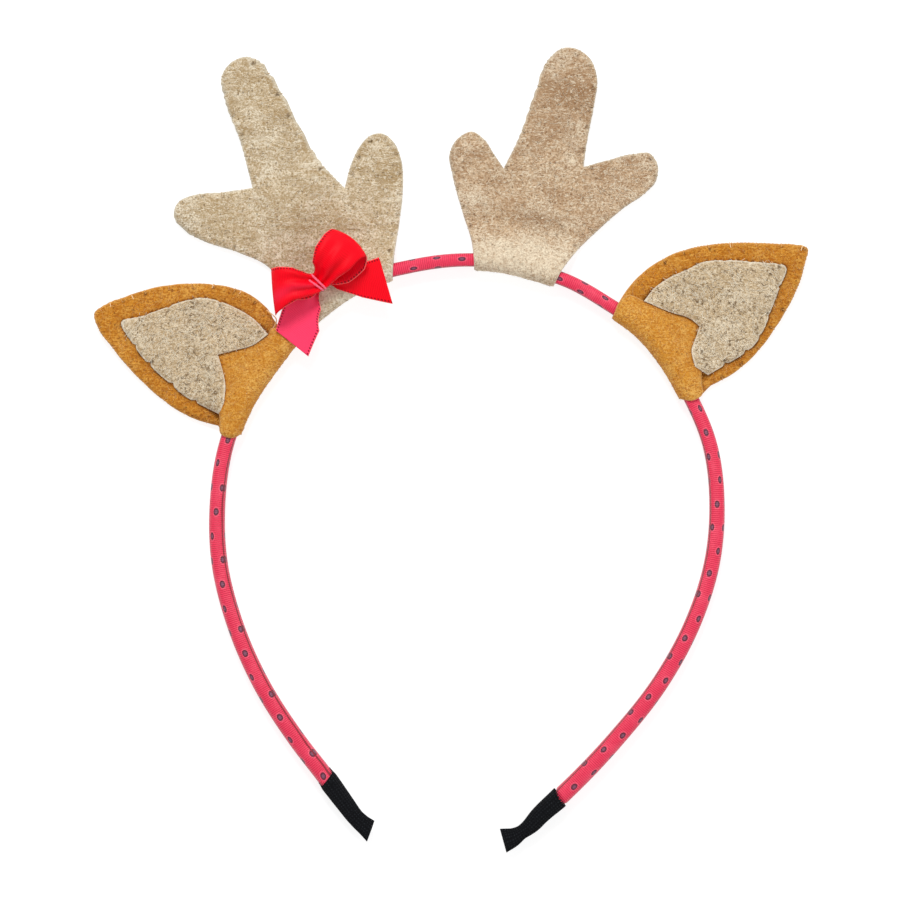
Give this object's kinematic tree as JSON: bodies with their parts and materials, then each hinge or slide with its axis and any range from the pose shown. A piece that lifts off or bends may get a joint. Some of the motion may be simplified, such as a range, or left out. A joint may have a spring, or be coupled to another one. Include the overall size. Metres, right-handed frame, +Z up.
{
  "type": "deer ears headband",
  "caption": "Ribbon-covered headband with flat felt antlers, layered felt deer ears and a small satin bow, lying on its back",
  "frame": {"origin": "Middle of the underside of the bounding box, with the headband lying on its back", "axes": "+X to the right as the front is seen, +Y from the cut ends to the antlers, +Z up, the way the front faces"},
  "size_m": [0.1784, 0.201, 0.0179],
  "materials": {
    "band_ribbon": "coral grosgrain ribbon with small dark dots",
    "end_cap": "black ribbed elastic",
    "brown_felt": "golden brown felt",
    "oatmeal_felt": "mottled oatmeal wool felt",
    "bow_ribbon": "red satin ribbon with woven edges",
    "bow_thread": "pink thread"
  },
  "bodies": {
    "root": {"band": "band_ribbon", "cap_left": "end_cap", "cap_right": "end_cap", "antler_left": "oatmeal_felt", "antler_right": "oatmeal_felt", "ear_left_back": "brown_felt", "ear_left_front": "brown_felt", "ear_left_inner": "oatmeal_felt", "ear_right_back": "brown_felt", "ear_right_front": "brown_felt", "ear_right_inner": "oatmeal_felt", "bow_loops": "bow_ribbon", "bow_tails": "bow_ribbon", "bow_knot": "bow_thread"}
  },
  "joints": []
}
